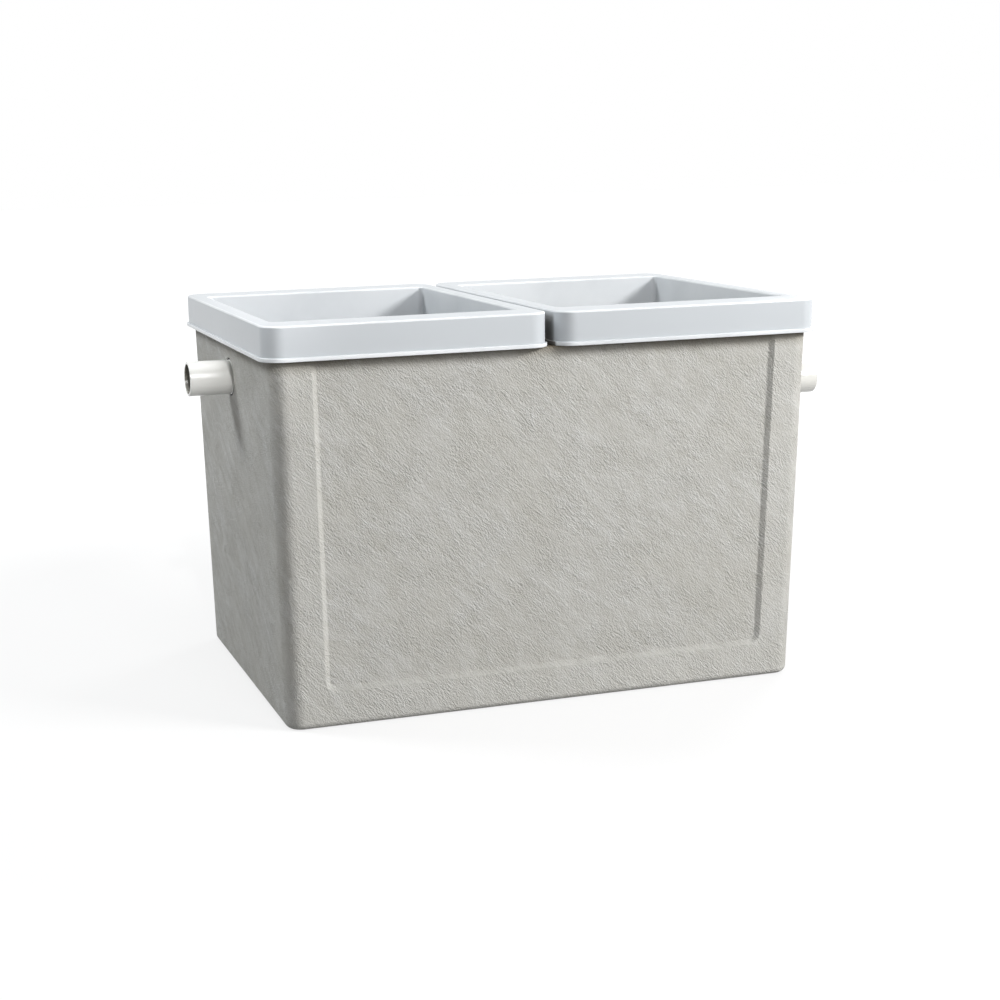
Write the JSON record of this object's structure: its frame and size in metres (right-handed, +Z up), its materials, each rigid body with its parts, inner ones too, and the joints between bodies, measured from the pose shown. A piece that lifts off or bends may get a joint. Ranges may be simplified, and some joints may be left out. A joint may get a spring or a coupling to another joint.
{
  "type": "grease trap",
  "caption": "Rectangular moulded grease trap with open collars, drain pipe stubs, lift-out strainer basket with bail handle, hanging grease baffle, sludge weir and dipped outlet tee.",
  "frame": {"origin": "middle of the tank's base, on the ground", "axes": "+X from the inlet to the outlet, +Y to the back, +Z up"},
  "size_m": [1.0111, 0.559, 0.559],
  "materials": {
    "laminate": "fibrous moulded laminate",
    "collar_plastic": "satin",
    "rubber": "matt",
    "drain_pipe": "gloss",
    "fitting": "satin",
    "plastic_sheet": "plain sheet",
    "basket_plastic": "plain moulded",
    "steel_wire": "drawn wire"
  },
  "bodies": {
    "trap": {"tank_body": "laminate", "deck_plate": "laminate", "inlet_collar": "collar_plastic", "outlet_collar": "collar_plastic", "inlet_collar_gasket": "rubber", "outlet_collar_gasket": "rubber", "inlet_pipe": "drain_pipe", "inlet_pipe_seal": "rubber", "inlet_elbow": "fitting", "inlet_drop_pipe": "drain_pipe", "outlet_pipe": "drain_pipe", "outlet_pipe_seal": "rubber", "outlet_tee": "fitting", "outlet_dip_pipe": "drain_pipe", "dip_pipe_clip": "fitting", "grease_baffle": "plastic_sheet", "baffle_front_guide": "plastic_sheet", "baffle_back_guide": "plastic_sheet", "sludge_weir": "plastic_sheet", "weir_front_guide": "plastic_sheet", "weir_back_guide": "plastic_sheet", "basket_front_ledge": "plastic_sheet", "basket_back_ledge": "plastic_sheet", "strainer_basket": "basket_plastic"},
    "bail": {"basket_handle": "steel_wire"}
  },
  "joints": [
    {"name": "bail_pivot", "type": "hinge", "parent": "trap", "child": "bail", "pos_m": [-0.23636, 0, 0.411], "axis": [0, -1, 0], "range_deg": [0, 90]}
  ]
}
